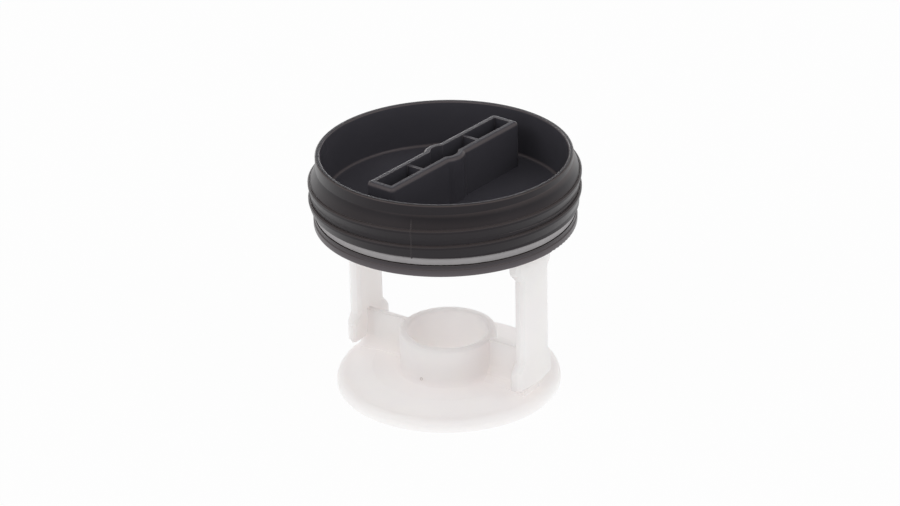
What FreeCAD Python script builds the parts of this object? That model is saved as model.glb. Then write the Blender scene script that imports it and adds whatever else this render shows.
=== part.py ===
# Washer pump filter: a black screw cap with a grip bar, a grey sealing ring and a white filter cage.
# Frame: millimetres, +Z up along the thread axis, +X along the grip bar, origin at the middle of the base.
import FreeCAD, Part
import math
import os
import Sketcher

SIZES = (
    # Heights, from the base of the cage upwards.
    ("disc_rim_height", 2.9),
    ("disc_rise", 1.3),
    ("disc_recess", 2.2),
    ("foot_gap", 1.9),
    ("toe_height", 0.9),
    ("foot_height", 4.3),
    ("foot_taper", 2.6),
    ("head_taper", 2.4),
    ("head_height", 5.9),
    ("flange_bottom", 43.9),
    ("flange_lip", 1.6),
    ("flange_height", 2.8),
    ("groove_height", 2.3),
    ("floor_cover", 1.1),
    ("floor_thickness", 1.8),
    ("cup_depth", 11.8),
    # Cap, measured inwards from the thread's crest.
    ("thread_radius", 33.0),
    ("rim_inset", 1.95),
    ("rim_wall", 1.2),
    ("cup_draft", 0.55),
    ("thread_depth", 0.6),
    ("flange_inset", 1.05),
    ("flange_step", 0.25),
    ("groove_depth", 3.6),
    ("skirt_wall", 1.8),
    ("edge_round", 0.4),
    ("floor_round", 0.8),
    # Thread, with a sloping lead above its last turn.
    ("thread_pitch", 4.0),
    ("thread_drop", 4.05),
    ("thread_azimuth", 84.0),
    ("thread_turns", 1.75),
    ("thread_bury", 0.35),
    ("thread_edge", 0.3),
    ("thread_crest", 0.6),
    ("thread_gap", 0.6),
    ("lead_turns", 1.0),
    ("lead_gap", 0.4),
    ("lead_bite", 0.2),
    ("lead_ledge", 0.5),
    ("core_drop", 0.25),
    ("core_slope", 1.6),
    # Grip bar in the cup.
    ("grip_gap", 4.7),
    ("grip_width", 8.1),
    ("grip_drop", 0.05),
    ("grip_wall", 1.7),
    ("grip_corner", 1.2),
    ("grip_edge", 0.95),
    ("grip_blend", 1.0),
    ("boss_radius", 5.1),
    ("rib_offset", 10.6),
    ("rib_thickness", 0.9),
    ("rib_drop", 0.4),
    # Sealing ring.
    ("seal_width", 2.25),
    ("seal_gap", 0.15),
    ("seal_round", 0.6),
    # Cage.
    ("disc_swell", 0.15),
    ("disc_slope", 8.75),
    ("disc_wall", 2.55),
    ("disc_round", 2.2),
    ("tube_radius", 12.1),
    ("tube_wall", 2.2),
    ("tube_blend", 1.2),
    ("tube_lip", 0.7),
    ("post_inset", 1.1),
    ("post_thickness", 3.1),
    ("post_angle", 12.8),
    ("post_corner", 0.8),
    ("post_corner_angle", 2.0),
    ("foot_inset", 0.4),
    ("foot_swell", 0.2),
    ("foot_inner_half", 7.7),
    ("foot_outer_half", 7.2),
    ("foot_corner", 0.8),
    ("toe_inset", 0.7),
    ("web_half", 0.7),
    ("web_waist", 1.3),
    ("web_waist_height", 7.2),
    ("web_bend", 2.0),
    ("web_bend_height", 5.0),
    ("web_foot", 3.4),
    ("web_offset", 1.2),
    ("web_root", 0.4),
    ("web_bury", 1.1),
    ("ring_width", 8.0),
    ("ring_lift", 1.1),
    ("cage_turn", -86.0),
    # The cage's top ring snaps into the cap's skirt and is keyed there.
    ("snap_rise", 2.7),
    ("snap_half", 0.5),
    ("snap_reach", 0.5),
    ("snap_flank", 0.5),
    ("fit_clearance", 0.2),
    ("key_width", 3.0),
    ("key_depth", 1.4),
)

# Sizes that follow from those above.
DERIVED = (
    ("disc_top", "disc_rim_height + disc_rise"),
    ("foot_bottom", "disc_top + foot_gap"),
    ("toe_top", "foot_bottom + toe_height"),
    ("foot_shoulder", "toe_top + foot_height"),
    ("base_top", "foot_shoulder + foot_taper"),
    ("head_shoulder", "flange_bottom - head_height"),
    ("head_start", "head_shoulder - head_taper"),
    ("flange_line", "flange_bottom + flange_lip"),
    ("groove_bottom", "flange_bottom + flange_height"),
    ("groove_top", "groove_bottom + groove_height"),
    ("cup_floor", "groove_top + floor_cover"),
    ("rim_top", "cup_floor + cup_depth"),
    ("grip_top", "rim_top - grip_drop"),
    ("ring_bottom", "flange_bottom + ring_lift"),
    ("snap_height", "flange_bottom + snap_rise"),
    ("rim_radius", "thread_radius - rim_inset"),
    ("cup_radius", "rim_radius - rim_wall - cup_draft"),
    ("core_radius", "thread_radius - thread_depth"),
    ("flange_radius", "thread_radius - flange_inset"),
    ("groove_radius", "thread_radius - groove_depth"),
    ("skirt_radius", "groove_radius - skirt_wall"),
    ("thread_root", "rim_radius - thread_bury"),
    ("thread_end", "rim_top - thread_drop"),
    ("thread_start", "thread_end - thread_pitch * thread_turns"),
    ("thread_flank", "thread_pitch - thread_gap"),
    ("lead_start", "thread_end - thread_pitch * lead_turns"),
    ("lead_azimuth", "thread_azimuth + 360 * (thread_turns - lead_turns)"),
    ("lead_height", "thread_pitch - lead_gap"),
    ("core_top", "lead_start - core_drop"),
    ("grip_length", "2 * (cup_radius - grip_gap)"),
    ("seal_outer", "groove_radius + seal_width"),
    ("disc_radius", "skirt_radius + disc_swell"),
    ("disc_crown", "disc_radius - disc_slope"),
    ("disc_skirt", "disc_radius - disc_wall"),
    ("tube_bore", "tube_radius - tube_wall"),
    ("post_outer", "skirt_radius - post_inset"),
    ("post_inner", "post_outer - post_thickness"),
    ("foot_inner", "post_inner - foot_inset"),
    ("foot_outer", "post_outer + foot_swell"),
    ("web_start", "tube_radius - web_bury"),
    ("web_end", "post_inner + web_bury"),
    ("ring_inner", "skirt_radius - ring_width"),
)


class Size:
    """A number together with the sheet expression that gives it."""

    def __init__(self, value, text):
        self.value = value
        self.text = text

    def _with(self, other, sign, value):
        return Size(value, "(" + self.text + " " + sign + " " + as_size(other).text + ")")

    def __add__(self, other):
        return self._with(other, "+", self.value + as_size(other).value)

    def __sub__(self, other):
        return self._with(other, "-", self.value - as_size(other).value)

    def __mul__(self, other):
        return self._with(other, "*", self.value * as_size(other).value)

    def __truediv__(self, other):
        return self._with(other, "/", self.value / as_size(other).value)

    def __neg__(self):
        return Size(-self.value, "(-" + self.text + ")")


def as_size(number):
    if isinstance(number, Size):
        return number
    return Size(float(number), repr(float(number)))


def cosine(angle):
    return Size(math.cos(math.radians(angle.value)), "cos(" + angle.text + ")")


def sine(angle):
    return Size(math.sin(math.radians(angle.value)), "sin(" + angle.text + ")")


doc = FreeCAD.newDocument("washer_pump_filter")
sheet = doc.addObject("Spreadsheet::Sheet", "Sizes")
size = {}
for row, (name, value) in enumerate(SIZES + DERIVED, start=1):
    sheet.set("A" + str(row), name)
    sheet.set("B" + str(row), "=" + str(value))
    sheet.setAlias("B" + str(row), name)
doc.recompute()
for name, value in SIZES + DERIVED:
    size[name] = Size(float(sheet.get(name)), "Sizes." + name)


def bind(thing, prop, amount):
    thing.setExpression(prop, as_size(amount).text)


def new_body(label):
    body = doc.addObject("PartDesign::Body", label)
    body.Label = label
    return body


def origin_part(body, role):
    for feature in body.Origin.OriginFeatures:
        if feature.Role == role:
            return feature
    raise RuntimeError("no origin feature " + role)


def new_sketch(body, name, plane, lift=None):
    sketch = body.newObject("Sketcher::SketchObject", name)
    sketch.AttachmentSupport = [(origin_part(body, plane), "")]
    sketch.MapMode = "FlatFace"
    if lift is not None:
        sketch.AttachmentOffset = FreeCAD.Placement(FreeCAD.Vector(0, 0, lift.value), FreeCAD.Rotation())
        bind(sketch, "AttachmentOffset.Base.z", lift)
    return sketch


def pin(sketch, geometry, end, x=None, y=None):
    """Ties a sketch point to sheet expressions, measured from the sketch's origin."""
    for kind, amount in (("DistanceX", x), ("DistanceY", y)):
        if amount is None:
            continue
        amount = as_size(amount)
        index = sketch.addConstraint(Sketcher.Constraint(kind, -1, 1, geometry, end, amount.value))
        sketch.setExpression("Constraints[" + str(index) + "]", amount.text)


def vector(x, y):
    return FreeCAD.Vector(as_size(x).value, as_size(y).value, 0)


def polygon(sketch, corners):
    first = sketch.GeometryCount
    count = len(corners)
    for i in range(count):
        sketch.addGeometry(Part.LineSegment(vector(*corners[i]), vector(*corners[(i + 1) % count])), False)
    for i in range(count):
        following = first + (i + 1) % count
        sketch.addConstraint(Sketcher.Constraint("Coincident", first + i, 2, following, 1))
    for i, (x, y) in enumerate(corners):
        pin(sketch, first + i, 1, x, y)


def rectangle(sketch, x_low, x_high, y_low, y_high):
    polygon(sketch, [(x_low, y_low), (x_high, y_low), (x_high, y_high), (x_low, y_high)])


def ring_circle(sketch, radius):
    index = sketch.addGeometry(Part.Circle(FreeCAD.Vector(), FreeCAD.Vector(0, 0, 1), radius.value), False)
    sketch.addConstraint(Sketcher.Constraint("Coincident", index, 3, -1, 1))
    mark = sketch.addConstraint(Sketcher.Constraint("Radius", index, radius.value))
    sketch.setExpression("Constraints[" + str(mark) + "]", radius.text)


def arc_to(sketch, radius, low_x, low_y, high_y):
    """An arc about the origin from a pinned low corner up to a height, on the +X side."""
    low = math.atan2(low_y.value, low_x.value)
    high = math.asin(high_y.value / radius.value)
    circle = Part.Circle(FreeCAD.Vector(), FreeCAD.Vector(0, 0, 1), radius.value)
    index = sketch.addGeometry(Part.ArcOfCircle(circle, low, high), False)
    sketch.addConstraint(Sketcher.Constraint("Coincident", index, 3, -1, 1))
    pin(sketch, index, 1, low_x, low_y)
    pin(sketch, index, 2, None, high_y)
    return index


def join(sketch, first, first_end, second, second_end):
    """A straight side between the ends of two curves that are already in the sketch."""
    start = sketch.getPoint(first, first_end)
    stop = sketch.getPoint(second, second_end)
    side = sketch.addGeometry(Part.LineSegment(start, stop), False)
    sketch.addConstraint(Sketcher.Constraint("Coincident", side, 1, first, first_end))
    sketch.addConstraint(Sketcher.Constraint("Coincident", side, 2, second, second_end))


def pinned_line(sketch, x_one, y_one, x_two, y_two):
    line = sketch.addGeometry(Part.LineSegment(vector(x_one, y_one), vector(x_two, y_two)), False)
    pin(sketch, line, 1, x_one, y_one)
    pin(sketch, line, 2, x_two, y_two)
    return line


def close_section(sketch, inner, outer, low, high):
    """Joins an inner curve, an outer curve and two sides by cutting the four corners."""
    join(sketch, inner, 1, low, 1)
    join(sketch, low, 2, outer, 1)
    join(sketch, outer, 2, high, 2)
    join(sketch, high, 1, inner, 2)


def post_outline(sketch):
    """The post's section: a piece of a round wall about the axis, with cut corners."""
    face = size["post_angle"] - size["post_corner_angle"]
    side_start = size["post_inner"] + size["post_corner"]
    side_stop = size["post_outer"] - size["post_corner"]
    across = sine(size["post_angle"])
    along = cosine(size["post_angle"])
    inner = arc_to(sketch, size["post_inner"], size["post_inner"] * cosine(face), -size["post_inner"] * sine(face),
                   size["post_inner"] * sine(face))
    outer = arc_to(sketch, size["post_outer"], size["post_outer"] * cosine(face), -size["post_outer"] * sine(face),
                   size["post_outer"] * sine(face))
    low = pinned_line(sketch, side_start * along, -side_start * across, side_stop * along, -side_stop * across)
    high = pinned_line(sketch, side_start * along, side_start * across, side_stop * along, side_stop * across)
    close_section(sketch, inner, outer, low, high)


def foot_outline(sketch, inset=0):
    """The thicker section at both ends of a post: flat inside, round outside, with cut corners."""
    corner = size["foot_corner"]
    inner_half = size["foot_inner_half"] - inset
    outer_half = size["foot_outer_half"] - inset
    inner_x = size["foot_inner"] + inset
    radius = size["foot_outer"] - inset
    face = outer_half - corner
    turn = Size(math.degrees(math.asin(face.value / radius.value)), "asin(" + face.text + " / " + radius.text + ")")
    outer_x = radius * cosine(turn)
    inner = pinned_line(sketch, inner_x, corner - inner_half, inner_x, inner_half - corner)
    outer = arc_to(sketch, radius, outer_x, -face, face)
    low = pinned_line(sketch, inner_x + corner, -inner_half, outer_x - corner, -outer_half)
    high = pinned_line(sketch, inner_x + corner, inner_half, outer_x - corner, outer_half)
    close_section(sketch, inner, outer, low, high)


def toe_outline(sketch):
    """The foot's section where its lower edge is cut back."""
    foot_outline(sketch, size["toe_inset"])


def pad(body, name, sketch, length, backwards=False):
    feature = body.newObject("PartDesign::Pad", name)
    feature.Profile = sketch
    bind(feature, "Length", length)
    feature.Reversed = backwards
    sketch.Visibility = False
    doc.recompute()
    return feature


def pocket(body, name, sketch, length):
    feature = body.newObject("PartDesign::Pocket", name)
    feature.Profile = sketch
    bind(feature, "Length", length)
    sketch.Visibility = False
    doc.recompute()
    return feature


def revolve(body, name, sketch):
    feature = body.newObject("PartDesign::Revolution", name)
    feature.Profile = sketch
    feature.ReferenceAxis = (origin_part(body, "Z_Axis"), [""])
    feature.Angle = 360.0
    sketch.Visibility = False
    doc.recompute()
    return feature


def edges_where(feature, test):
    return ["Edge" + str(i) for i, edge in enumerate(feature.Shape.Edges, start=1) if test(edge)]


def fillet(body, name, base, edges, radius):
    if not edges:
        raise RuntimeError("no edge to round for " + name)
    feature = body.newObject("PartDesign::Fillet", name)
    feature.Base = (base, edges)
    bind(feature, "Radius", radius)
    doc.recompute()
    return feature


def opposite(body, name, originals):
    """Repeats features on the other side of the axis."""
    feature = body.newObject("PartDesign::PolarPattern", name)
    feature.Originals = originals
    feature.Axis = (origin_part(body, "Z_Axis"), [""])
    feature.Angle = 360.0
    feature.Occurrences = 2
    body.Tip = feature
    doc.recompute()
    return feature


NEAR = 1e-4


def level_ring(height, radius):
    """Picks full circles about the axis at one height and radius."""
    def test(edge):
        curve = edge.Curve
        if curve.TypeId != "Part::GeomCircle":
            return False
        return abs(curve.Radius - radius) < NEAR and abs(curve.Center.z - height) < NEAR
    return test


# Screw cap: cup, thread band, seal groove, flange and skirt in one turned profile.
cap = new_body("screw_cap")
floor_under = size["cup_floor"] - size["floor_thickness"]
rim_inner = size["rim_radius"] - size["rim_wall"]
snap_wall = size["skirt_radius"] + size["snap_reach"]
snap_low = size["snap_height"] - size["snap_half"] - size["fit_clearance"]
snap_high = size["snap_height"] + size["snap_half"] + size["fit_clearance"]
profile = new_sketch(cap, "cap_profile", "XZ_Plane")
polygon(profile, [
    (0, floor_under),
    (size["skirt_radius"], floor_under),
    (size["skirt_radius"], snap_high + size["snap_flank"]),
    (snap_wall, snap_high),
    (snap_wall, snap_low),
    (size["skirt_radius"], snap_low - size["snap_flank"]),
    (size["skirt_radius"], size["flange_bottom"]),
    (size["flange_radius"], size["flange_bottom"]),
    (size["flange_radius"], size["flange_line"]),
    (size["flange_radius"] - size["flange_step"], size["flange_line"] + size["flange_step"]),
    (size["flange_radius"] - size["flange_step"], size["groove_bottom"]),
    (size["core_radius"], size["groove_top"]),
    (size["core_radius"], size["core_top"]),
    (size["rim_radius"], size["core_top"] + size["core_slope"]),
    (size["rim_radius"], size["rim_top"]),
    (rim_inner, size["rim_top"]),
    (size["cup_radius"], size["cup_floor"]),
    (0, size["cup_floor"]),
])
turned = revolve(cap, "cap_turned", profile)

rounded = fillet(cap, "cap_rim_round", turned,
                 edges_where(turned, level_ring(size["rim_top"].value, size["rim_radius"].value))
                 + edges_where(turned, level_ring(size["rim_top"].value, rim_inner.value))
                 + edges_where(turned, level_ring(size["flange_bottom"].value, size["flange_radius"].value)),
                 size["edge_round"])
floored = fillet(cap, "cap_floor_round", rounded,
                 edges_where(rounded, level_ring(size["cup_floor"].value, size["cup_radius"].value)),
                 size["floor_round"])

# The thread is a shallow right-handed ridge with a small level ledge on its upper side.
def helix_ridge(name, azimuth, turns, corners):
    """Winds a section up the thread, starting at an angle about the axis."""
    section = new_sketch(cap, name + "_section", "XZ_Plane")
    section.AttachmentOffset = FreeCAD.Placement(FreeCAD.Vector(), FreeCAD.Rotation(FreeCAD.Vector(0, 1, 0), 1.0))
    bind(section, "AttachmentOffset.Rotation.Angle", azimuth)
    polygon(section, corners)
    feature = cap.newObject("PartDesign::AdditiveHelix", name)
    feature.Profile = section
    feature.ReferenceAxis = (origin_part(cap, "Z_Axis"), [""])
    feature.Mode = "pitch-turns-angle"
    bind(feature, "Pitch", size["thread_pitch"])
    bind(feature, "Turns", turns)
    feature.Angle = 0.0
    feature.LeftHanded = False
    feature.Reversed = False
    section.Visibility = False
    doc.recompute()


ridge_top = size["thread_start"]
helix_ridge("thread_ridge", size["thread_azimuth"], size["thread_turns"], [
    (size["thread_root"], ridge_top + size["thread_edge"] / 2),
    (size["thread_radius"] - size["thread_edge"], ridge_top),
    (size["thread_radius"], ridge_top - size["thread_edge"]),
    (size["thread_radius"], ridge_top - size["thread_edge"] - size["thread_crest"]),
    (size["core_radius"] - size["core_drop"] / 2, ridge_top - size["thread_flank"]),
    (size["thread_root"], ridge_top - size["thread_flank"]),
])

# Above the last turn the wall leans out from the rim to the ledge.
lead_bottom = size["lead_start"] - size["lead_bite"]
lead_top = size["lead_start"] + size["lead_height"]
helix_ridge("thread_lead", size["lead_azimuth"], size["lead_turns"], [
    (size["thread_root"], lead_bottom),
    (size["thread_radius"] - size["lead_ledge"], lead_bottom),
    (size["rim_radius"] - size["thread_bury"] / 2, lead_top),
    (size["thread_root"], lead_top),
])

# The seal groove is cut after the thread, so that it trims the lowest turn.
seat_sketch = new_sketch(cap, "groove_section", "XZ_Plane")
rectangle(seat_sketch, size["groove_radius"], size["thread_radius"] * 2 - size["groove_radius"],
          size["groove_bottom"], size["groove_top"])
seat = cap.newObject("PartDesign::Groove", "seal_groove")
seat.Profile = seat_sketch
seat.ReferenceAxis = (origin_part(cap, "Z_Axis"), [""])
seat.Angle = 360.0
seat_sketch.Visibility = False
doc.recompute()

# Grip bar: a hollow bar with a round boss in the middle and two cross ribs.
grip_rise = size["grip_top"] - size["cup_floor"]
half_length = size["grip_length"] / 2
half_width = size["grip_width"] / 2
root = size["floor_thickness"] / 2
bar_sketch = new_sketch(cap, "grip_bar_outline", "XY_Plane", size["cup_floor"] - root)
rectangle(bar_sketch, -half_length, half_length, -half_width, half_width)
bar = pad(cap, "grip_bar", bar_sketch, grip_rise + root)
boss_sketch = new_sketch(cap, "grip_boss_outline", "XY_Plane", size["cup_floor"] - root)
ring_circle(boss_sketch, size["boss_radius"])
boss = pad(cap, "grip_boss", boss_sketch, grip_rise + root)


def upright_of_grip(corner):
    """Picks the bar's upright edges: its four corners, or the seams beside the boss."""
    def test(edge):
        if edge.Curve.TypeId != "Part::GeomLine":
            return False
        low, high = edge.BoundBox.ZMin, edge.BoundBox.ZMax
        if abs(high - size["grip_top"].value) > NEAR or high - low < grip_rise.value / 2:
            return False
        point = edge.Vertexes[0].Point
        on_side = abs(abs(point.y) - half_width.value) < NEAR
        at_end = abs(abs(point.x) - half_length.value) < NEAR
        return on_side and at_end == corner
    return test


cornered = fillet(cap, "grip_corners", boss, edges_where(boss, upright_of_grip(True)), size["grip_corner"])
blended = fillet(cap, "grip_blends", cornered, edges_where(cornered, upright_of_grip(False)), size["grip_blend"])


def on_grip_top(edge):
    box = edge.BoundBox
    level = abs(box.ZMin - size["grip_top"].value) < NEAR and abs(box.ZMax - size["grip_top"].value) < NEAR
    return level and box.YMax < size["boss_radius"].value + NEAR


edged = fillet(cap, "grip_edges", blended, edges_where(blended, on_grip_top), size["grip_edge"])
hollow_sketch = new_sketch(cap, "grip_hollow_outline", "XY_Plane", size["grip_top"])
rectangle(hollow_sketch, size["grip_wall"] - half_length, half_length - size["grip_wall"],
          size["grip_wall"] - half_width, half_width - size["grip_wall"])
hollow = pocket(cap, "grip_hollow", hollow_sketch, grip_rise)
boss_hollow_sketch = new_sketch(cap, "boss_hollow_outline", "XY_Plane", size["grip_top"])
ring_circle(boss_hollow_sketch, size["boss_radius"] - size["grip_wall"])
boss_hollow = pocket(cap, "boss_hollow", boss_hollow_sketch, grip_rise)
rib_sketch = new_sketch(cap, "grip_rib_outline", "XY_Plane", size["cup_floor"] - root)
rib_half = size["rib_thickness"] / 2
rib_reach = half_width - size["grip_wall"] / 2
rectangle(rib_sketch, size["rib_offset"] - rib_half, size["rib_offset"] + rib_half, -rib_reach, rib_reach)
rib = pad(cap, "grip_rib", rib_sketch, grip_rise + root - size["rib_drop"])
ribs = opposite(cap, "grip_ribs", [rib])

# Keys inside the skirt stop the cage from turning.
key_sketch = new_sketch(cap, "key_outline", "XY_Plane", size["ring_bottom"])
rectangle(key_sketch, size["skirt_radius"] - size["key_depth"], size["groove_radius"] - size["snap_reach"],
          -size["key_width"] / 2, size["key_width"] / 2)
key = pad(cap, "skirt_key", key_sketch, floor_under - size["ring_bottom"] + root)
opposite(cap, "skirt_keys", [key])

# Sealing ring seated in the cap's groove.
seal = new_body("sealing_ring")
seal_sketch = new_sketch(seal, "seal_profile", "XZ_Plane")
seal_low = size["groove_bottom"]
seal_high = size["groove_top"] - size["seal_gap"]
rectangle(seal_sketch, size["groove_radius"], size["seal_outer"], seal_low, seal_high)
seal_turned = revolve(seal, "seal_turned", seal_sketch)
fillet(seal, "seal_round", seal_turned,
       edges_where(seal_turned, level_ring(seal_low.value, size["seal_outer"].value))
       + edges_where(seal_turned, level_ring(seal_high.value, size["seal_outer"].value)),
       size["seal_round"])

# Filter cage, modelled with its posts on the X axis and turned to its place at the end.
cage = new_body("filter_cage")
base_sketch = new_sketch(cage, "base_profile", "XZ_Plane")
polygon(base_sketch, [
    (size["tube_bore"], 0),
    (size["tube_radius"], 0),
    (size["tube_radius"], size["disc_recess"]),
    (size["disc_skirt"], size["disc_recess"]),
    (size["disc_skirt"], 0),
    (size["disc_radius"], 0),
    (size["disc_radius"], size["disc_rim_height"]),
    (size["disc_crown"], size["disc_top"]),
    (size["tube_radius"], size["disc_top"]),
    (size["tube_radius"], size["base_top"]),
    (size["tube_bore"], size["base_top"]),
])
base = revolve(cage, "base_turned", base_sketch)
blend = fillet(cage, "tube_blend_round", base,
               edges_where(base, level_ring(size["disc_top"].value, size["tube_radius"].value)), size["tube_blend"])
lip = fillet(cage, "tube_lip_round", blend,
             edges_where(blend, level_ring(size["base_top"].value, size["tube_radius"].value))
             + edges_where(blend, level_ring(size["base_top"].value, size["tube_bore"].value)), size["tube_lip"])
fillet(cage, "disc_edge_round", lip,
       edges_where(lip, level_ring(size["disc_rim_height"].value, size["disc_radius"].value)), size["disc_round"])

ring_top = floor_under
ring_outer = size["skirt_radius"] - size["fit_clearance"]
bead_outer = snap_wall - size["fit_clearance"]
bead_low = size["snap_height"] - size["snap_half"]
bead_high = size["snap_height"] + size["snap_half"]
ring_sketch = new_sketch(cage, "ring_profile", "XZ_Plane")
polygon(ring_sketch, [
    (size["ring_inner"], size["ring_bottom"]),
    (ring_outer, size["ring_bottom"]),
    (ring_outer, bead_low - size["snap_flank"]),
    (bead_outer, bead_low),
    (bead_outer, bead_high),
    (ring_outer, bead_high + size["snap_flank"]),
    (ring_outer, ring_top),
    (size["ring_inner"], ring_top),
])


def shoulder(name, low_outline, low_at, high_outline, high_at):
    """A sloped step between a foot's section and the post's."""
    low = new_sketch(cage, name + "_low", "XY_Plane", low_at)
    low_outline(low)
    high = new_sketch(cage, name + "_high", "XY_Plane", high_at)
    high_outline(high)
    feature = cage.newObject("PartDesign::AdditiveLoft", name)
    feature.Profile = low
    feature.Sections = [high]
    feature.Ruled = True
    low.Visibility = False
    high.Visibility = False
    doc.recompute()
    return feature


# One post is stacked from foot to head, each length standing on the one below.
toe = shoulder("toe", toe_outline, size["foot_bottom"], foot_outline, size["toe_top"])
foot_sketch = new_sketch(cage, "foot_outline", "XY_Plane", size["toe_top"])
foot_outline(foot_sketch)
foot = pad(cage, "foot", foot_sketch, size["foot_height"])
foot_slope = shoulder("foot_slope", foot_outline, size["foot_shoulder"], post_outline, size["base_top"])
post_sketch = new_sketch(cage, "post_outline", "XY_Plane", size["base_top"])
post_outline(post_sketch)
post = pad(cage, "post", post_sketch, size["head_start"] - size["base_top"])
head_slope = shoulder("head_slope", post_outline, size["head_start"], foot_outline, size["head_shoulder"])
head_sketch = new_sketch(cage, "head_outline", "XY_Plane", size["head_shoulder"])
foot_outline(head_sketch)
head = pad(cage, "head", head_sketch, size["ring_bottom"] - size["head_shoulder"])

# The web between tube and foot widens at its base, and carries the foot above the disc.
web_sketch = new_sketch(cage, "web_section", "YZ_Plane", size["web_start"])
web_root = size["disc_recess"] + size["web_root"]
polygon(web_sketch, [
    (-size["web_foot"], web_root),
    (size["web_foot"], web_root),
    (size["web_foot"], size["disc_top"]),
    (size["web_offset"] + size["web_bend"], size["web_bend_height"]),
    (size["web_offset"] + size["web_waist"], size["web_waist_height"]),
    (size["web_offset"] + size["web_half"], size["base_top"]),
    (size["web_offset"] - size["web_half"], size["base_top"]),
    (size["web_offset"] - size["web_waist"], size["web_waist_height"]),
    (size["web_offset"] - size["web_bend"], size["web_bend_height"]),
    (-size["web_foot"], size["disc_top"]),
])
web = pad(cage, "web", web_sketch, size["web_end"] - size["web_start"])
opposite(cage, "both_posts", [toe, foot, foot_slope, post, head_slope, head, web])
ring = revolve(cage, "ring_turned", ring_sketch)

# Notches in the ring take the cap's keys, which stand on the grip bar's line.
notch_sketch = new_sketch(cage, "notch_outline", "XY_Plane", ring_top)
notch_half = size["key_width"] / 2 + size["fit_clearance"]
notch_start = size["skirt_radius"] - size["key_depth"] - size["fit_clearance"]
rectangle(notch_sketch, notch_start, size["groove_radius"], -notch_half, notch_half)
bind(notch_sketch, "AttachmentOffset.Rotation.Angle", -size["cage_turn"])
notch = pocket(cage, "ring_notch", notch_sketch, ring_top - size["ring_bottom"])
opposite(cage, "ring_notches", [notch])
bind(cage, "Placement.Rotation.Angle", size["cage_turn"])
doc.recompute()

for thing in doc.Objects:
    if "Invalid" in thing.State or "Error" in thing.State:
        raise RuntimeError(thing.Name + " did not build")

os.makedirs("parts", exist_ok=True)
for body in (cap, seal, cage):
    shape = body.Shape
    if shape.isNull() or not shape.isValid():
        raise RuntimeError(body.Label + " has no valid shape")
    if len(shape.Solids) != 1:
        raise RuntimeError(body.Label + " is not one solid")
    shape.exportStep("parts/" + body.Label + ".step")
    box = shape.BoundBox
    print(body.Label, "volume", round(shape.Volume, 1), "from", round(box.ZMin, 2), "to", round(box.ZMax, 2))
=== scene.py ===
import math

import bmesh
import bpy
from mathutils import Matrix, Vector


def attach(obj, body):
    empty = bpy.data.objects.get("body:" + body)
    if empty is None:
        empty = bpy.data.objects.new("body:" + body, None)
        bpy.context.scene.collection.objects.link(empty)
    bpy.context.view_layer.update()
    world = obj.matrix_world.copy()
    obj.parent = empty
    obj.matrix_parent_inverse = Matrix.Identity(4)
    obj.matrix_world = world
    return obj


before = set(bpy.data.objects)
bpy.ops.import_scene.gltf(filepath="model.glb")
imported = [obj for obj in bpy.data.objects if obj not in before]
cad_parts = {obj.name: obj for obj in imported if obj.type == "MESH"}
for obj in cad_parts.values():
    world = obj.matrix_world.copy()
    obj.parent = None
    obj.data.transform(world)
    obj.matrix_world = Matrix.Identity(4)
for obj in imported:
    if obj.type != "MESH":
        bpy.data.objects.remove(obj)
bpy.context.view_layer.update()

MM = 0.001

# The photograph's camera: angles in degrees about the part's axis and the height on it that is aimed at.
IMAGE_WIDTH = 900.0
FOCAL_PIXELS = 3000.0
SENSOR_WIDTH = 36.0
VIEW_TURN = -141.05
VIEW_RISE = 26.24
VIEW_ROLL = -1.256
VIEW_DISTANCE = 731.0 * MM
AIM_HEIGHT = 34.33 * MM
FRAME_RIGHT = 3.67
FRAME_UP = 0.82

# The room. At level 1 a colour shows about as it is written. The screen's edge and the end of its fading are
# cosines of angles from its middle. The white above the floor fades between two heights on a unit sphere.
ROOM_LEVEL = 0.62
SCREEN_LEVEL = 0.18
SCREEN_RISE = 34.0
SCREEN_EDGE = 0.70
SCREEN_FULL = 0.92
HORIZON_LEVEL = 1.0
HORIZON_FULL = 0.14
HORIZON_END = 0.34
FLOOR_SIZE = 8.0
FLOOR_GLOW = 0.96
TABLE_GLOW = 0.82

# The lamps: turn from the camera and rise, in degrees, then width, height and power.
LAMP_DISTANCE = 1.0
LAMPS = {
    "left_softbox": (-58.0, 36.0, 0.5, 0.3, 1.35),
    "right_softbox": (58.0, 36.0, 0.5, 0.3, 1.1),
    "back_strip": (180.0, 12.0, 1.0, 0.12, 1.6),
}

# Radii and heights between which the cap's and the seal's finishes change, and with them the painted light:
# the cup's lighter inside, the flange's light band, the seal's lighter top, and where the painted highlights
# go.
FLOOR_TO_WALL = (26.40 * MM, 27.72 * MM)
CUP_TO_OUTSIDE = (30.10 * MM, 30.86 * MM)
FLANGE_FADE = (44.07 * MM, 46.55 * MM)
FLANGE_END = (46.55 * MM, 46.73 * MM)
SEAL_SHADE = (46.92 * MM, 48.78 * MM)
THREAD_TO_BAND = (57.26 * MM, 58.50 * MM)
BAND_TO_RIM = (58.80 * MM, 60.35 * MM)

# How far faces look up, from 0 on a wall to 1 on a level top, where painted highlights go on round edges and
# on ledges.
ROUND_START = (0.10, 0.45)
ROUND_END = (0.85, 0.985)
LEDGE_START = (0.25, 0.75)

# Noise levels between which dust, bloom and warm clouds come in.
SPECK_TO_DUST = (0.60, 0.78)
CLOUD_TO_BLOOM = (0.35, 0.75)
CLOUD_TO_WARMTH = (0.36, 0.66)

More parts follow.
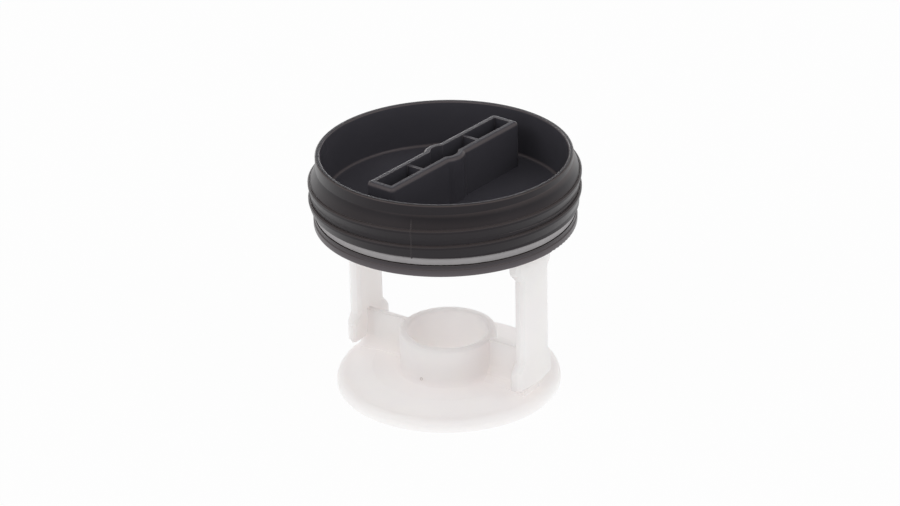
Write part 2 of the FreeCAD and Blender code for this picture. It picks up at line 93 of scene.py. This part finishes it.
# How strongly dust, relief and bloom show, how strongly the flange's painted light and the painted highlights
# on rounds and ledges show, and how wide and strong the sharp edges' lines of wear and painted highlight are.
FLOW_RELIEF = 0.3
GRAIN_RELIEF = 0.12
DUST_SHARE = 0.12
FLANGE_LOSS = 0.75
ROUND_HIGHLIGHT_SHARE = 0.45
LEDGE_HIGHLIGHT_SHARE = 0.26
EDGE_LINE_WIDTH = 0.28 * MM
EDGE_LINE_SPREAD = 0.25
RIM_WEAR_AND_HIGHLIGHT = 0.75
THREAD_WEAR_AND_HIGHLIGHT = 0.42
BLOOM_SHARE = 0.3

# Colours, in linear light.
# Painted light: the cup's inside is painted lighter and bluer than the cap's darker outside.
CUP_DARK = (0.052, 0.051, 0.061, 1.0)
CUP_LIGHT = (0.071, 0.068, 0.080, 1.0)
OUTSIDE_DARK = (0.0058, 0.0050, 0.0058, 1.0)
OUTSIDE_LIGHT = (0.0120, 0.0102, 0.0118, 1.0)
DUST_GREY = (0.075, 0.070, 0.068, 1.0)
# Painted light: the pale grey of the flange's lower band.
PAINTED_FLANGE_LIGHT = (0.110, 0.098, 0.104, 1.0)
# Painted highlight on round edges and thread ledges.
PAINTED_HIGHLIGHT_BROWN = (0.130, 0.104, 0.098, 1.0)
# Partly wear, partly painted highlight on sharp edges.
WEAR_AND_HIGHLIGHT_GREY = (0.240, 0.208, 0.208, 1.0)
BLACK_SHEEN = (1.0, 0.93, 0.99, 1.0)
# Painted shade and light on the seal: the lower colour low down, the upper colour at the top.
SEAL_LOWER = (0.225, 0.214, 0.220, 1.0)
SEAL_UPPER = (0.385, 0.371, 0.378, 1.0)
SEAL_BLOOM = (0.420, 0.404, 0.404, 1.0)
CAGE_COOL = (0.915, 0.842, 0.832, 1.0)
CAGE_WARM = (0.936, 0.866, 0.832, 1.0)
TORN_COOL = (0.700, 0.640, 0.625, 1.0)
TORN_WARM = (0.740, 0.680, 0.650, 1.0)
PAPER = (0.90, 0.90, 0.90, 1.0)
WHITE = (1.0, 1.0, 1.0, 1.0)

# The seams that the cap's mould leaves up its wall: turn about the axis, then height and radius of points, in
# millimetres, that follow the thread.
SEAM_WIDTH = 0.32 * MM
SEAM_BURY = 0.30 * MM
SEAM_PROUD = 0.04 * MM
SEAM_ROUND = 0.03 * MM
SEAM_START = 0.1 * MM
SEAMS = {
    "mould_seam_front": (-155.5, (
        (48.80, 32.40), (49.25, 32.40), (51.35, 33.00), (51.90, 33.00), (52.28, 32.42),
        (53.25, 32.40), (55.35, 33.00), (55.88, 33.00), (56.32, 32.36), (58.40, 31.48),
    )),
    "mould_seam_back": (24.5, (
        (48.80, 32.40), (51.25, 32.40), (53.35, 33.00), (53.88, 33.00), (54.32, 32.36), (56.40, 31.48),
    )),
}

# The pip that the gate leaves low on the cage's tube. Its torn middle is sunk inside a lip and narrows.
GATE_TURN = -175.0
GATE_HEIGHT = 5.3 * MM
GATE_SEAT = 12.1 * MM
GATE_RADIUS = 0.42 * MM
GATE_SIDES = 24
GATE_LENGTH = 0.9 * MM
GATE_PROUD = 0.14 * MM
GATE_LIP = 0.13 * MM
GATE_TEAR = 0.16 * MM
GATE_NARROWING = 0.6
GATE_ROUND = 0.04 * MM

# How added pieces are rounded and shaded, and how level a face has to be to count as a top.
ROUND_STEPS = 2
SMOOTH_ANGLE = math.radians(40.0)
LEVEL_ENOUGH = 0.9


class Signal:
    """A node's output that can stand in sums."""

    def __init__(self, finish, socket):
        self.finish = finish
        self.socket = socket

    def combine(self, operation, first, second):
        return self.finish.node("ShaderNodeMath", {"operation": operation}, {0: first, 1: second})

    def __add__(self, other):
        return self.combine("ADD", self, other)

    def __radd__(self, other):
        return self.combine("ADD", other, self)

    def __sub__(self, other):
        return self.combine("SUBTRACT", self, other)

    def __rsub__(self, other):
        return self.combine("SUBTRACT", other, self)

    def __mul__(self, other):
        return self.combine("MULTIPLY", self, other)

    def __rmul__(self, other):
        return self.combine("MULTIPLY", other, self)


class Finish:
    """The nodes of a material, or of the room's light."""

    def __init__(self, holder, coordinates):
        self.holder = holder
        holder.use_nodes = True
        self.tree = holder.node_tree
        self.tree.nodes.clear()
        self.place = self.node("ShaderNodeTexCoord", {}, {}, coordinates)

    def node(self, kind, settings, sockets, output=0):
        """Adds a node, sets it up, feeds its sockets and gives one of its outputs."""
        made = self.tree.nodes.new(kind)
        for name, value in settings.items():
            setattr(made, name, value)
        for name, value in sockets.items():
            if isinstance(value, Signal):
                self.tree.links.new(value.socket, made.inputs[name])
            else:
                made.inputs[name].default_value = value
        return Signal(self, made.outputs[output]) if made.outputs else made

    def between(self, value, start, end):
        """Nothing up to start, one from end on, and an even rise between them."""
        return self.node("ShaderNodeMapRange", {}, {"Value": value, "From Min": start, "From Max": end})

    def mix(self, share, first, second):
        """A colour between two colours."""
        return self.node("ShaderNodeMix", {"data_type": "RGBA"}, {0: share, 6: first, 7: second}, 2)

    def noise(self, grain, detail, roughness=0.5, stretch=(1.0, 1.0, 1.0)):
        """Cloudy values about one half, in clouds about as large as grain."""
        spread = self.node("ShaderNodeMapping", {}, {"Vector": self.place, "Scale": stretch})
        return self.node("ShaderNodeTexNoise", {},
                         {"Vector": spread, "Scale": 1.0 / grain, "Detail": detail, "Roughness": roughness})

    def height(self):
        return self.node("ShaderNodeSeparateXYZ", {}, {"Vector": self.place}, "Z")

    def distance_from_axis(self):
        flat = self.node("ShaderNodeVectorMath", {"operation": "MULTIPLY"},
                         {0: self.place, 1: (1.0, 1.0, 0.0)})
        return self.node("ShaderNodeVectorMath", {"operation": "LENGTH"}, {0: flat}, "Value")

    def normal(self):
        return self.node("ShaderNodeNewGeometry", {}, {}, "Normal")

    def upward(self):
        """One on level tops, nothing on upright walls."""
        return self.node("ShaderNodeSeparateXYZ", {}, {"Vector": self.normal()}, "Z")

    def soft_edges(self, radius):
        """The surface's normal with its sharp edges rounded by a radius."""
        return self.node("ShaderNodeBevel", {"samples": 8}, {"Radius": radius})

    def sharp_edges(self, radius):
        """One on sharp edges, falling to nothing a radius away from them."""
        agreement = self.node("ShaderNodeVectorMath", {"operation": "DOT_PRODUCT"},
                              {0: self.soft_edges(radius), 1: self.normal()}, "Value")
        return self.between(1 - agreement, 0.0, EDGE_LINE_SPREAD)

    def bump(self, height, strength, depth, normal=None):
        """The surface's normal, or the one given, with a fine relief."""
        sockets = {"Height": height, "Strength": strength, "Distance": depth}
        if normal is not None:
            sockets["Normal"] = normal
        return self.node("ShaderNodeBump", {}, sockets)

    def surface(self, sockets):
        """Ends the material in a shader with these sockets."""
        shader = self.node("ShaderNodeBsdfPrincipled", {}, sockets)
        self.node("ShaderNodeOutputMaterial", {}, {"Surface": shader})
        return self.holder


def new_finish(name):
    return Finish(bpy.data.materials.new(name), "Object")


def black_plastic():
    """Satin black moulding: fine grain, flow clouds and dust, with painted light: a lighter, bluer inside of
    the cup and a darker outside, a pale band low on the flange, painted highlights on upward-looking round
    edges and thread ledges, and pale sharp edges that are partly wear and partly painted highlight.
    """
    finish = new_finish("black_plastic")
    flow = finish.noise(grain=14.0 * MM, detail=4.0, roughness=0.55, stretch=(1.0, 1.0, 2.2))
    grain = finish.noise(grain=0.22 * MM, detail=2.0)
    specks = finish.noise(grain=0.9 * MM, detail=5.0, roughness=0.7)
    dust = finish.between(specks, *SPECK_TO_DUST)
    height = finish.height()
    radius = finish.distance_from_axis()
    upward = finish.upward()

    # Painted light: inside the cup the plastic is painted lighter and bluer, outside darker, for the light
    # and reflections each side gets.
    outside = finish.between(radius, *CUP_TO_OUTSIDE)
    inner = finish.mix(flow, CUP_DARK, CUP_LIGHT)
    outer = finish.mix(flow, OUTSIDE_DARK, OUTSIDE_LIGHT)
    inside_painted_lighter = finish.mix(outside, inner, outer)
    dusty = finish.mix(dust * DUST_SHARE, inside_painted_lighter, DUST_GREY)

    # Painted light: a pale band on the flange's outside, brightest at its bottom edge, where light from the
    # floor falls.
    fading = 1 - finish.between(height, *FLANGE_FADE) * FLANGE_LOSS
    flange = fading * (1 - finish.between(height, *FLANGE_END)) * outside
    flange_lit = finish.mix(flange, dusty, PAINTED_FLANGE_LIGHT)

    # Painted highlights: pale brown on round edges that look up, on the rim and at the cup floor's corner,
    # and on the thread's upward-looking ledges.
    rim = finish.between(height, *BAND_TO_RIM)
    floor_corner = finish.between(radius, *FLOOR_TO_WALL) * (1 - outside)
    rounds = finish.between(upward, *ROUND_START) * (1 - finish.between(upward, *ROUND_END))
    highlighted_rounds = rounds * (rim + (1 - rim) * floor_corner)
    threaded = (1 - finish.between(height, *THREAD_TO_BAND)) * outside
    ledges = finish.between(upward, *LEDGE_START) * threaded
    highlighted = finish.mix(highlighted_rounds * ROUND_HIGHLIGHT_SHARE + ledges * LEDGE_HIGHLIGHT_SHARE, flange_lit, PAINTED_HIGHLIGHT_BROWN)
    # Pale lines on the sharp edges of the rim and thread: partly wear, partly painted highlight.
    edges = finish.sharp_edges(EDGE_LINE_WIDTH) * (rim * RIM_WEAR_AND_HIGHLIGHT + threaded * THREAD_WEAR_AND_HIGHLIGHT)

    return finish.surface({
        "Base Color": finish.mix(edges, highlighted, WEAR_AND_HIGHLIGHT_GREY),
        "Roughness": 0.28 + flow * 0.10 + dust * 0.08,
        "Normal": finish.bump(grain + flow * FLOW_RELIEF, strength=0.08, depth=0.06 * MM),
        "IOR": 1.45,
        "Specular IOR Level": 0.36,
        "Specular Tint": BLACK_SHEEN,
    })


def grey_rubber():
    """Grey rubber with a fine dry grain and a pale bloom, with painted shade: darker low down and lighter
    towards the top.
    """
    finish = new_finish("grey_rubber")
    cloud = finish.noise(grain=6.0 * MM, detail=3.0)
    grain = finish.noise(grain=0.3 * MM, detail=3.0, roughness=0.6)
    bloom = finish.between(cloud, *CLOUD_TO_BLOOM)
    # Painted shade: the seal is darker low down and lighter towards its top.
    upper = finish.between(finish.height(), *SEAL_SHADE)
    seal_painted_shade = finish.mix(upper, SEAL_LOWER, SEAL_UPPER)
    soft_normal = finish.soft_edges(0.2 * MM)
    return finish.surface({
        "Base Color": finish.mix(bloom * BLOOM_SHARE, seal_painted_shade, SEAL_BLOOM),
        "Roughness": 0.42 + grain * 0.14,
        "Normal": finish.bump(grain, strength=0.25, depth=0.08 * MM, normal=soft_normal),
        "IOR": 1.5,
    })


def milky_plastic(name, cool, warm, depth_share):
    """White moulding with warm and cool clouds and sink marks. At a depth share of 1 light goes into it."""
    finish = new_finish(name)
    cloud = finish.noise(grain=11.0 * MM, detail=3.0)
    ripple = finish.noise(grain=4.5 * MM, detail=2.0, roughness=0.45)
    grain = finish.noise(grain=0.28 * MM, detail=2.0)
    warmth = finish.between(cloud, *CLOUD_TO_WARMTH)
    return finish.surface({
        "Base Color": finish.mix(warmth, cool, warm),
        "Roughness": 0.42 + ripple * 0.14,
        "Normal": finish.bump(ripple + grain * GRAIN_RELIEF, strength=0.10, depth=0.25 * MM),
        "IOR": 1.45,
        "Specular IOR Level": 0.25,
        "Subsurface Weight": depth_share,
        "Subsurface Radius": (1.0, 0.92, 0.90),
        "Subsurface Scale": 14.0 * MM,
    })


def studio_white():
    """Light table that looks white, lights the part softly from below and takes a faint shadow."""
    finish = new_finish("studio_white")
    seen = finish.node("ShaderNodeLightPath", {}, {}, "Is Camera Ray")
    shiny = finish.node("ShaderNodeLightPath", {}, {}, "Is Glossy Ray")
    through = finish.node("ShaderNodeLightPath", {}, {}, "Is Transmission Ray")
    paper = finish.node("ShaderNodeBsdfDiffuse", {}, {"Color": PAPER})
    glow = finish.node("ShaderNodeEmission", {}, {"Color": WHITE, "Strength": 1.0})
    share = TABLE_GLOW + (seen + shiny + through) * (FLOOR_GLOW - TABLE_GLOW)
    table = finish.node("ShaderNodeMixShader", {}, {0: share, 1: paper, 2: glow})
    finish.node("ShaderNodeOutputMaterial", {}, {"Surface": table})
    return finish.holder


def dress(node, material):
    """Gives a CAD piece its finish."""
    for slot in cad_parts[node].material_slots:
        slot.material = material


def direction(turn, rise):
    """A unit vector from the part towards a turn about its axis and a rise above the floor, in degrees."""
    flat = math.cos(math.radians(rise))
    return Vector((flat * math.cos(math.radians(turn)), flat * math.sin(math.radians(turn)),
                   math.sin(math.radians(rise))))


def select_faces_up(piece):
    """In edit mode, selects only the faces that look up."""
    bpy.ops.mesh.select_mode(type="FACE")
    bpy.ops.mesh.select_all(action="DESELECT")
    shape = bmesh.from_edit_mesh(piece.data)
    for face in shape.faces:
        face.select_set(face.normal.z > LEVEL_ENOUGH)
    shape.select_flush(True)
    bmesh.update_edit_mesh(piece.data)


def finish_piece(piece, rounding, material):
    """Rounds a piece's edges, puts its place into its mesh, and fixes it to the part."""
    bpy.ops.object.mode_set(mode="EDIT")
    bpy.ops.mesh.select_all(action="SELECT")
    bpy.ops.mesh.normals_make_consistent(inside=False)
    bpy.ops.object.mode_set(mode="OBJECT")
    bevel = piece.modifiers.new("rounded_edges", "BEVEL")
    bevel.width = rounding
    bevel.segments = ROUND_STEPS
    bpy.ops.object.modifier_apply(modifier=bevel.name)
    bpy.ops.object.transform_apply(location=True, rotation=True, scale=True)
    bpy.ops.object.shade_smooth_by_angle(angle=SMOOTH_ANGLE)
    piece.data.materials.append(material)
    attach(piece, "root")


def add_seam(name, turn, points, material):
    """A thin seam up the cap's wall, drawn out from a small block from point to point."""
    bpy.ops.object.select_all(action="DESELECT")
    bpy.ops.mesh.primitive_cube_add(size=1.0, location=(0.0, 0.0, 0.0))
    seam = bpy.context.object
    seam.name = name
    height, radius = points[0]
    bpy.ops.object.mode_set(mode="EDIT")
    bpy.ops.transform.resize(value=(SEAM_BURY + SEAM_PROUD, SEAM_WIDTH, SEAM_START))
    bpy.ops.transform.translate(value=(radius * MM + (SEAM_PROUD - SEAM_BURY) / 2.0, 0.0, height * MM))
    select_faces_up(seam)
    for next_height, next_radius in points[1:]:
        step = ((next_radius - radius) * MM, 0.0, (next_height - height) * MM)
        bpy.ops.mesh.extrude_region_move(TRANSFORM_OT_translate={"value": step})
        height, radius = next_height, next_radius
    bpy.ops.object.mode_set(mode="OBJECT")
    seam.rotation_euler = (0.0, 0.0, math.radians(turn))
    finish_piece(seam, SEAM_ROUND, material)


def add_gate_mark(material):
    """A low round pip with a sunken torn middle, pointing straight out of the tube."""
    bpy.ops.object.select_all(action="DESELECT")
    bpy.ops.mesh.primitive_cylinder_add(vertices=GATE_SIDES, radius=GATE_RADIUS, depth=GATE_LENGTH,
                                        location=(0.0, 0.0, 0.0))
    mark = bpy.context.object
    mark.name = "gate_mark"
    bpy.ops.object.mode_set(mode="EDIT")
    select_faces_up(mark)
    bpy.ops.mesh.inset(thickness=GATE_LIP)
    bpy.ops.mesh.extrude_region_move(TRANSFORM_OT_translate={"value": (0.0, 0.0, -GATE_TEAR)})
    bpy.ops.transform.resize(value=(GATE_NARROWING, GATE_NARROWING, 1.0))
    bpy.ops.object.mode_set(mode="OBJECT")
    mark.rotation_euler = (0.0, math.radians(90.0), math.radians(GATE_TURN))
    middle = direction(GATE_TURN, 0.0) * (GATE_SEAT + GATE_PROUD - GATE_LENGTH / 2.0)
    mark.location = (middle.x, middle.y, GATE_HEIGHT)
    finish_piece(mark, GATE_ROUND, material)


def add_floor():
    bpy.ops.object.select_all(action="DESELECT")
    bpy.ops.mesh.primitive_plane_add(size=FLOOR_SIZE, location=(0.0, 0.0, 0.0))
    floor = bpy.context.object
    floor.name = "studio_floor"
    floor.data.materials.append(studio_white())


def add_room_light():
    """A pale room that is white down to the floor, with a dark screen high behind the part."""
    world = bpy.data.worlds.new("studio_room")
    bpy.context.scene.world = world
    room = Finish(world, "Generated")
    screen_middle = direction(VIEW_TURN + 180.0, SCREEN_RISE)
    towards_screen = room.node("ShaderNodeVectorMath", {"operation": "DOT_PRODUCT"},
                               {0: room.place, 1: screen_middle}, "Value")
    screen = room.between(towards_screen, SCREEN_EDGE, SCREEN_FULL)
    upper = ROOM_LEVEL + screen * (SCREEN_LEVEL - ROOM_LEVEL)
    lower = HORIZON_LEVEL * (1 - room.between(room.height(), HORIZON_FULL, HORIZON_END))
    level = room.node("ShaderNodeMath", {"operation": "MAXIMUM"}, {0: upper, 1: lower})
    backdrop = room.node("ShaderNodeBackground", {}, {"Color": WHITE, "Strength": level})
    room.node("ShaderNodeOutputWorld", {}, {"Surface": backdrop})


def facing(where, aim, roll=0.0):
    """A place that looks from where to aim, rolled about its own line of sight."""
    turn = (aim - where).to_track_quat("-Z", "Y").to_matrix().to_4x4()
    return Matrix.Translation(where) @ turn @ Matrix.Rotation(math.radians(roll), 4, "Z")


def add_lamp(name, turn, rise, width, height, watts):
    """A rectangular lamp that lights the part and isn't seen itself."""
    light = bpy.data.lights.new(name, "AREA")
    light.shape = "RECTANGLE"
    light.size = width
    light.size_y = height
    light.energy = watts
    lamp = bpy.data.objects.new(name, light)
    bpy.context.scene.collection.objects.link(lamp)
    middle = Vector((0.0, 0.0, AIM_HEIGHT))
    lamp.matrix_world = facing(middle + direction(VIEW_TURN + turn, rise) * LAMP_DISTANCE, middle)
    lamp.visible_camera = False


def add_camera():
    camera = bpy.data.cameras.new("photo_camera")
    camera.sensor_width = SENSOR_WIDTH
    camera.lens = FOCAL_PIXELS / IMAGE_WIDTH * SENSOR_WIDTH
    camera.shift_x = FRAME_RIGHT / IMAGE_WIDTH
    camera.shift_y = FRAME_UP / IMAGE_WIDTH
    holder = bpy.data.objects.new("photo_camera", camera)
    bpy.context.scene.collection.objects.link(holder)
    middle = Vector((0.0, 0.0, AIM_HEIGHT))
    holder.matrix_world = facing(middle + direction(VIEW_TURN, VIEW_RISE) * VIEW_DISTANCE, middle, VIEW_ROLL)
    bpy.context.scene.camera = holder


cap_finish = black_plastic()
dress("screw_cap", cap_finish)
dress("sealing_ring", grey_rubber())
dress("filter_cage", milky_plastic("milky_plastic", CAGE_COOL, CAGE_WARM, depth_share=1.0))
for seam_name, (seam_turn, seam_points) in SEAMS.items():
    add_seam(seam_name, seam_turn, seam_points, cap_finish)
add_gate_mark(milky_plastic("torn_plastic", TORN_COOL, TORN_WARM, depth_share=0.0))
add_floor()
add_room_light()
for lamp_name, lamp_setting in LAMPS.items():
    add_lamp(lamp_name, *lamp_setting)
add_camera()
bpy.context.scene.view_settings.view_transform = "Standard"
